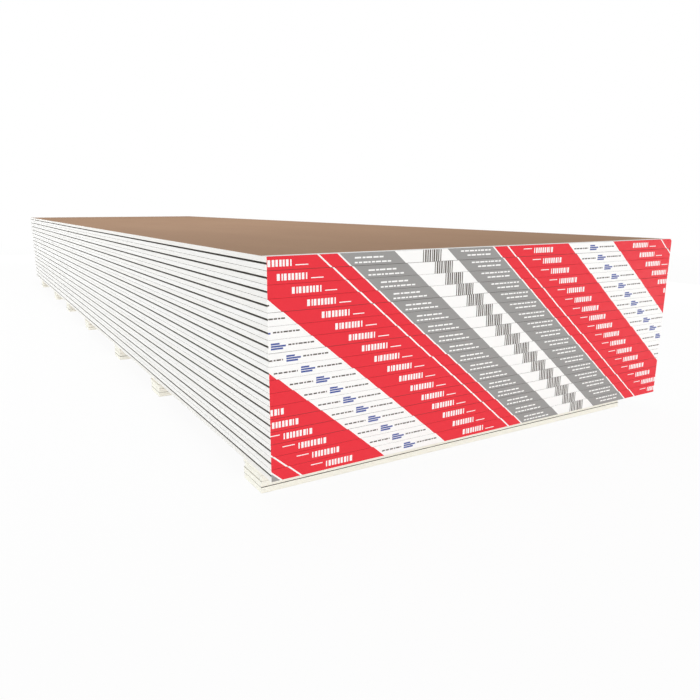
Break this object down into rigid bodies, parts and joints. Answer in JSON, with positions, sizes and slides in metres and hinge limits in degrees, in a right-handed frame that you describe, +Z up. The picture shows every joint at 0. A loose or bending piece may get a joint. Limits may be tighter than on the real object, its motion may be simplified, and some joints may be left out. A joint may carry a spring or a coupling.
{
  "type": "drywall sheet stack",
  "caption": "Long flat stack of drywall sheets, end-taped in face-to-face pairs with tapered edges, on low risers that leave gaps for fork tines.",
  "frame": {"origin": "on the floor, under the middle of the stack's plan", "axes": "+X across the sheets, +Y along them from the near taped end to the far one, +Z up"},
  "size_m": [1.2192, 4.2676, 0.4894],
  "materials": {
    "board_paper": "matt paper",
    "tape_paper": "printed paper",
    "riser_board": "cut board"
  },
  "bodies": {
    "root": {"sheet_01": "board_paper", "sheet_02": "board_paper", "sheet_03": "board_paper", "sheet_04": "board_paper", "sheet_05": "board_paper", "sheet_06": "board_paper", "sheet_07": "board_paper", "sheet_08": "board_paper", "sheet_09": "board_paper", "sheet_10": "board_paper", "sheet_11": "board_paper", "sheet_12": "board_paper", "sheet_13": "board_paper", "sheet_14": "board_paper", "sheet_15": "board_paper", "sheet_16": "board_paper", "sheet_17": "board_paper", "sheet_18": "board_paper", "sheet_19": "board_paper", "sheet_20": "board_paper", "sheet_21": "board_paper", "sheet_22": "board_paper", "sheet_23": "board_paper", "sheet_24": "board_paper", "sheet_25": "board_paper", "sheet_26": "board_paper", "sheet_27": "board_paper", "sheet_28": "board_paper", "sheet_29": "board_paper", "sheet_30": "board_paper", "sheet_31": "board_paper", "sheet_32": "board_paper", "sheet_33": "board_paper", "sheet_34": "board_paper", "end_tapes_01": "tape_paper", "end_tapes_02": "tape_paper", "end_tapes_03": "tape_paper", "end_tapes_04": "tape_paper", "end_tapes_05": "tape_paper", "end_tapes_06": "tape_paper", "end_tapes_07": "tape_paper", "end_tapes_08": "tape_paper", "end_tapes_09": "tape_paper", "end_tapes_10": "tape_paper", "end_tapes_11": "tape_paper", "end_tapes_12": "tape_paper", "end_tapes_13": "tape_paper", "end_tapes_14": "tape_paper", "end_tapes_15": "tape_paper", "end_tapes_16": "tape_paper", "end_tapes_17": "tape_paper", "riser_1": "riser_board", "riser_2": "riser_board", "riser_3": "riser_board", "riser_4": "riser_board", "riser_5": "riser_board", "riser_6": "riser_board", "riser_7": "riser_board"}
  },
  "joints": []
}
